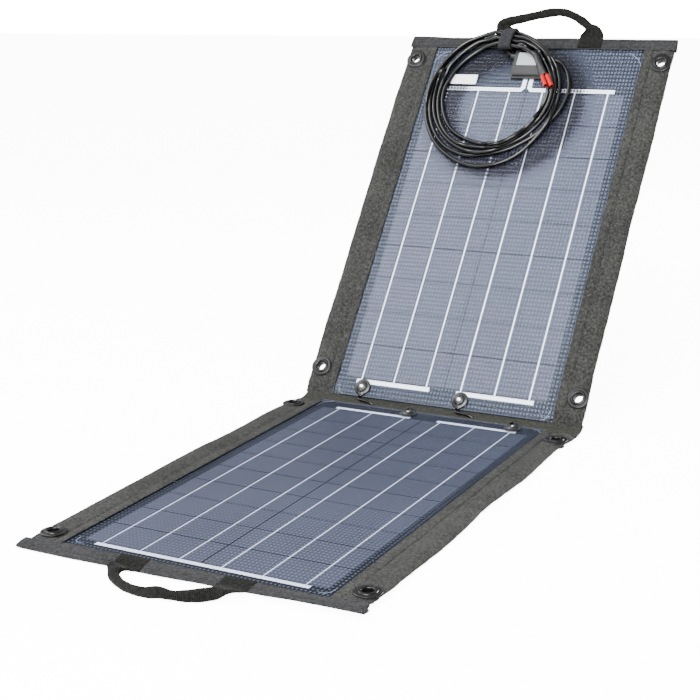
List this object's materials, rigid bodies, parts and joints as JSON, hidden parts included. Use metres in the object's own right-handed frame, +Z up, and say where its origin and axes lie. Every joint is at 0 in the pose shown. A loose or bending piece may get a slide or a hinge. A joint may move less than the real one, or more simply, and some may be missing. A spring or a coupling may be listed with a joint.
{
  "type": "folding solar charging mat",
  "caption": "Fold-up solar mat: framed cell laminates on a fabric carrier, with eyelets, webbing carry handles and a strapped output cable coil.",
  "frame": {"origin": "on the ground at the middle of the lower half's underside: mid width, and midway along the lower laminate, 320.5 mm from the fold line", "axes": "+X to the right along the fold, +Y from the lower half towards the upper half, +Z up from the ground the lower half lies on"},
  "size_m": [0.436, 1.1115, 0.5454],
  "materials": {
    "carrier_fabric": "woven polyester canvas, matt",
    "webbing": "ribbed woven webbing",
    "backing_board": "glass-fibre laminate, satin, dark blue",
    "cell": "monocrystalline silicon, satin, blue-black",
    "front_film": "dimpled clear film",
    "bus_ribbon": "tinned ribbon, bright white",
    "eyelet_plastic": "moulded nylon, satin black",
    "magnet": "plated disc",
    "black_plastic": "moulded plastic, satin black",
    "grey_window": "pale grey panel, satin",
    "label": "plain white film",
    "hook_and_loop": "brushed hook-and-loop tape",
    "red_sleeve": "vinyl, semi-gloss",
    "cable_jacket": "smooth PVC jacket, semi-gloss"
  },
  "bodies": {
    "lower_panel": {"lower_back_fabric": "carrier_fabric", "lower_side_border": "carrier_fabric", "lower_hem_band": "carrier_fabric", "lower_backing_board": "backing_board", "lower_cell_string_left": "cell", "lower_cell_string_right": "cell", "lower_front_sheet": "front_film", "lower_bus_ribbon_near_left": "bus_ribbon", "lower_bus_ribbon_near_right": "bus_ribbon", "lower_bus_ribbon_far": "bus_ribbon", "lower_eyelet_near_left": "eyelet_plastic", "lower_eyelet_washer_near_left": "eyelet_plastic", "lower_eyelet_near_right": "eyelet_plastic", "lower_eyelet_washer_near_right": "eyelet_plastic", "lower_eyelet_far_left": "eyelet_plastic", "lower_eyelet_washer_far_left": "eyelet_plastic", "lower_eyelet_far_right": "eyelet_plastic", "lower_eyelet_washer_far_right": "eyelet_plastic", "lower_magnet_left": "magnet", "lower_link_boss_left": "black_plastic", "lower_magnet_right": "magnet", "lower_link_boss_right": "black_plastic"},
    "fold_spine": {"fold_strip": "carrier_fabric", "link_cable_left": "cable_jacket", "link_cable_right": "cable_jacket"},
    "upper_panel": {"upper_back_fabric": "carrier_fabric", "upper_side_border": "carrier_fabric", "upper_hem_band": "carrier_fabric", "upper_backing_board": "backing_board", "upper_cell_string_left": "cell", "upper_cell_string_right": "cell", "upper_front_sheet": "front_film", "upper_bus_ribbon_near_left": "bus_ribbon", "upper_bus_ribbon_near_right": "bus_ribbon", "upper_bus_ribbon_far_left": "bus_ribbon", "upper_bus_ribbon_far_right": "bus_ribbon", "upper_eyelet_near_left": "eyelet_plastic", "upper_eyelet_washer_near_left": "eyelet_plastic", "upper_eyelet_near_right": "eyelet_plastic", "upper_eyelet_washer_near_right": "eyelet_plastic", "upper_eyelet_far_left": "eyelet_plastic", "upper_eyelet_washer_far_left": "eyelet_plastic", "upper_eyelet_far_right": "eyelet_plastic", "upper_eyelet_washer_far_right": "eyelet_plastic", "upper_magnet_left": "magnet", "upper_link_boss_left": "black_plastic", "upper_magnet_right": "magnet", "upper_link_boss_right": "black_plastic", "junction_box_base": "black_plastic", "junction_box_lid": "black_plastic", "junction_box_window": "grey_window", "blank_label": "label", "cable_lead": "cable_jacket"},
    "cable_bundle": {"cable_coil": "cable_jacket", "coil_strap": "hook_and_loop", "heat_shrink_boot": "cable_jacket", "terminal_sleeve_a": "red_sleeve", "terminal_sleeve_b": "red_sleeve"},
    "lower_grip": {"lower_handle": "webbing"},
    "upper_grip": {"upper_handle": "webbing"}
  },
  "joints": [
    {"name": "lower_fold", "type": "hinge", "parent": "lower_panel", "child": "fold_spine", "pos_m": [0, 0.304, 0.0005], "axis": [1, 0, 0], "range_deg": [-10, 79.5]},
    {"name": "upper_fold", "type": "hinge", "parent": "fold_spine", "child": "upper_panel", "pos_m": [0, 0.32685, 0.00457], "axis": [1, 0, 0], "range_deg": [-41.9, 45]},
    {"name": "coil_swing", "type": "hinge", "parent": "upper_panel", "child": "cable_bundle", "pos_m": [-0.055, 0.68946, 0.50893], "axis": [0, -0.8329, 0.5534], "range_deg": [-6, 6]},
    {"name": "lower_handle_swing", "type": "hinge", "parent": "lower_panel", "child": "lower_grip", "pos_m": [0, -0.3239, 0.009], "axis": [-1, 0, 0], "range_deg": [0, 30]},
    {"name": "upper_handle_swing", "type": "hinge", "parent": "upper_panel", "child": "upper_grip", "pos_m": [0.013, 0.70673, 0.5046], "axis": [-1, 0, 0], "range_deg": [0, 90]}
  ]
}
